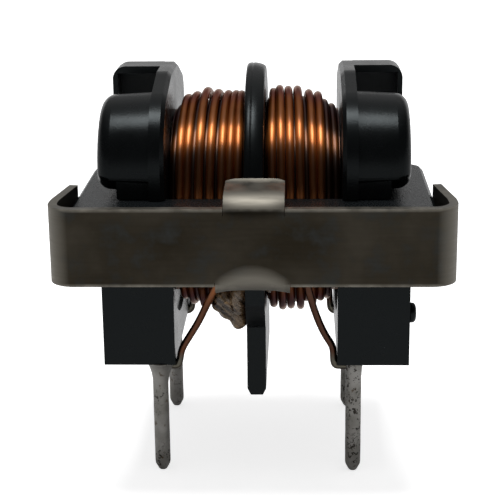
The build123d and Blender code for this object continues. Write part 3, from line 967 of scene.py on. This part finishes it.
def makeClip():
    places, quads = clipCells()
    outer, inner = (clipSkin(*places.T, w * clipShape["sheet"] / 2) for w in (1, -1))
    piece = addPiece("clip_sheet", *sheetSolid(outer, inner, quads), clipSteel, "spring_steel")
    bevel = piece.modifiers.new("edges", "BEVEL")
    bevel.width = clipShape["bevel"] * mm
    bevel.segments = 2
    bevel.limit_method = "ANGLE"
    bevel.angle_limit = np.radians(50)
    bevel.harden_normals = True
    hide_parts("clip")


makeClip()
print("clip folded")


# Pins and the solder collars at their tops

pins = {
    "spins": 32,
    "tipRise": (0.0, 0.04, 0.27, 0.37),  # heights above the tip
    "tipRadius": (0.45, 0.56, 0.93, 0.985),  # shares of the pin's radius
    "rodFrom": 0.55,
    "top": 0.75,
    "rows": 24,
    "wobble": 0.006,
    "wobbleRate": 5.1,
}


def makePin(name, x, y):
    # a turned rod with a bevelled tip: radius = pin * (1 - wobble + wobble * sin(rate * height + x))
    z = np.linspace(pinTip + pins["rodFrom"], pins["top"], pins["rows"])
    radius = pinRadius * (1 + pins["wobble"] * np.sin(z * pins["wobbleRate"] + x) - pins["wobble"])
    z = np.concatenate([pinTip + np.array(pins["tipRise"]), z])
    radius = np.concatenate([pinRadius * np.array(pins["tipRadius"]), radius])
    rings = uprightRod(x, y, z, radius, pins["spins"])
    piece = addPiece(f"{name}_rod", *closedTube(rings), tin, "tinned_pin")
    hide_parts(name)


collars = {
    "spins": 32,
    "rows": 16,
    "slim": 0.975,  # its lower edge starts inside the pin
    "swell": 0.03,
    "swellTo": 0.35,  # share of the height by which it stands out of the pin
    "power": 2.2,
    "overlap": 0.02,  # into the leg block
    "front_left": {"flare": 0.29, "base": -0.36, "lean": 0.05},
    "front_right": {"flare": 0.045, "base": -0.15, "lean": 0.02},
    "rear_left": {"flare": 0.12, "base": -0.10, "lean": 0.0},
    "rear_right": {"flare": 0.12, "base": -0.10, "lean": 0.0},
}


def makeCollar(name, x, y, shape):
    # concave flare up to the leg block: radius = pin * (slim + swell * smooth step) + flare * share ^ power
    share = np.linspace(0, 1, collars["rows"])
    z = shape["base"] + (blockBase + collars["overlap"] - shape["base"]) * share
    swell = collars["swell"] * smoothStep(share / collars["swellTo"])
    radius = pinRadius * (collars["slim"] + swell) + shape["flare"] * share ** collars["power"]
    rings = uprightRod(x + shape["lean"] * share, y, z, radius, collars["spins"])
    piece = addPiece(f"{name}_fillet", *closedTube(rings), tin, "solder")
    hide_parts(name)


for row, y in (("front", -pinY), ("rear", pinY)):
    for side, x in (("left", -pinX), ("right", pinX)):
        makePin(f"pin_{row}_{side}", x, y)
        makeCollar(f"solder_{row}_{side}", x, y, collars[f"{row}_{side}"])
print("pins and solder set")


# Camera, light and floor

view = {
    "place": (1.824, -58.321, 21.464),
    "yaw": -0.0391,
    "pitch": 0.2838,
    "roll": -0.0119,
    "focal": 101.88,
    "sensor": 36.0,
}


def setCamera():
    # the view direction turns by yaw about the upright, dips by pitch and leans by roll
    yaw, pitch, roll = view["yaw"], view["pitch"], view["roll"]
    ahead = np.array([np.sin(yaw) * np.cos(pitch), np.cos(yaw) * np.cos(pitch), -np.sin(pitch)])
    level = np.array([np.cos(yaw), -np.sin(yaw), 0])
    upright = np.cross(level, ahead)
    right = level * np.cos(roll) + upright * np.sin(roll)
    up = upright * np.cos(roll) - level * np.sin(roll)
    lens = bpy.data.cameras.new("camera")
    lens.lens = view["focal"]
    lens.sensor_width = view["sensor"]
    lens.clip_start = 0.001
    camera = bpy.data.objects.new("camera", lens)
    turn = np.eye(4)
    turn[:3, 0], turn[:3, 1], turn[:3, 2] = right, up, -ahead
    turn[:3, 3] = np.array(view["place"]) * mm
    camera.matrix_world = Matrix(turn.tolist())
    bpy.context.scene.collection.objects.link(camera)
    bpy.context.scene.camera = camera


studio = {
    "lampPower": 2.05,
    "lampSize": (0.235, 0.17),
    "lampAside": -0.0175,
    "lampDistance": 0.5,
    "lampHeight": 84.5,  # degrees above the horizon, in front
    "sky": (0.38, 0.38, 0.385),
    "wall": 0.05,
    "wallRise": (0.0, 0.28),
    "wallRear": 0.12,  # the wall behind the object stays pale this much higher up
    "panel": 0.53,
    "panelWay": (0.5, 0.866),  # the panel's place: how far to the rear and how far up
    "panelEdge": (0.62, 0.95),  # from its dark edge to where it is full
    "floorColour": (0.80, 0.80, 0.80),
    "floorRough": 0.9,
    "floorLift": 0.70,
    "floorShine": 0.12,
    "floorSize": 4.0,
}


def setLamp():
    lamp = bpy.data.lights.new("overheadLamp", "AREA")
    lamp.shape = "RECTANGLE"
    lamp.size, lamp.size_y = studio["lampSize"]
    lamp.energy = studio["lampPower"]
    overhead = bpy.data.objects.new("overheadLamp", lamp)
    a = np.radians(studio["lampHeight"])
    distance = studio["lampDistance"]
    overhead.location = (studio["lampAside"], -distance * np.cos(a), distance * np.sin(a))
    overhead.rotation_euler = (a - np.pi / 2, 0, 0)
    bpy.context.scene.collection.objects.link(overhead)


def seenDirectly(tree):
    # 1 for camera, glossy and transmission rays
    rays = tree.nodes.new("ShaderNodeLightPath")
    mirrored = workOut(tree, "MAXIMUM", rays.outputs["Is Glossy Ray"], rays.outputs["Is Transmission Ray"])
    return workOut(tree, "MAXIMUM", rays.outputs["Is Camera Ray"], mirrored)


def setWorld():
    # sky for the light on the object, and a pale wall that darkens upward, with a pale panel overhead, for
    # what is seen directly or mirrored
    world = bpy.data.worlds.new("studioWorld")
    world.use_nodes = True
    tree = world.node_tree
    sky = tree.nodes["Background"]
    sky.inputs["Color"].default_value = (*studio["sky"], 1)
    white = tree.nodes.new("ShaderNodeBackground")
    white.inputs["Color"].default_value = (1, 1, 1, 1)
    heading = tree.nodes.new("ShaderNodeTexCoord")
    x, y, z = axesOf(tree, heading.outputs["Generated"])
    rear = workOut(tree, "MAXIMUM", y, 0.0)
    lowered = workOut(tree, "SUBTRACT", z, workOut(tree, "MULTIPLY", rear, studio["wallRear"]))
    wall = fitted(tree, lowered, *studio["wallRise"], 1.0, studio["wall"])
    panelRear, panelUp = studio["panelWay"]
    toPanel = workOut(tree, "MULTIPLY", y, panelRear)
    toPanel = workOut(tree, "ADD", toPanel, workOut(tree, "MULTIPLY", z, panelUp))
    panel = fitted(tree, toPanel, *studio["panelEdge"], studio["wall"], studio["panel"])
    tree.links.new(workOut(tree, "MAXIMUM", wall, panel), white.inputs["Strength"])
    mix = tree.nodes.new("ShaderNodeMixShader")
    tree.links.new(seenDirectly(tree), mix.inputs[0])
    tree.links.new(sky.outputs[0], mix.inputs[1])
    tree.links.new(white.outputs[0], mix.inputs[2])
    tree.links.new(mix.outputs[0], tree.nodes["World Output"].inputs["Surface"])
    bpy.context.scene.world = world


def makeFloor():
    half, z = studio["floorSize"] / 2, floorZ * mm
    mesh = bpy.data.meshes.new("floor")
    corners = [(-half, -half, z), (half, -half, z), (half, half, z), (-half, half, z)]
    mesh.from_pydata(corners, [], [(0, 1, 2, 3)])
    floor = bpy.data.objects.new("floor", mesh)
    finish = bpy.data.materials.new("paleFloor")
    finish.use_nodes = True
    tree = finish.node_tree
    shader = tree.nodes["Principled BSDF"]
    shader.inputs["Base Color"].default_value = (*studio["floorColour"], 1)
    shader.inputs["Roughness"].default_value = studio["floorRough"]
    shader.inputs["Specular IOR Level"].default_value = 0.0
    # a little light of its own toward the camera and in mirrors keeps it pale, and its shadow stays
    lift = tree.nodes.new("ShaderNodeEmission")
    rays = tree.nodes.new("ShaderNodeLightPath")
    seen = workOut(tree, "MULTIPLY", rays.outputs["Is Camera Ray"], studio["floorLift"])
    mirrored = workOut(tree, "MULTIPLY", seenDirectly(tree), studio["floorShine"])
    tree.links.new(workOut(tree, "MAXIMUM", seen, mirrored), lift.inputs["Strength"])
    both = tree.nodes.new("ShaderNodeAddShader")
    tree.links.new(shader.outputs[0], both.inputs[0])
    tree.links.new(lift.outputs[0], both.inputs[1])
    tree.links.new(both.outputs[0], tree.nodes["Material Output"].inputs["Surface"])
    mesh.materials.append(finish)
    bpy.context.scene.collection.objects.link(floor)


setCamera()
setLamp()
setWorld()
makeFloor()
bpy.context.scene.view_settings.view_transform = "Standard"
print("studio set")
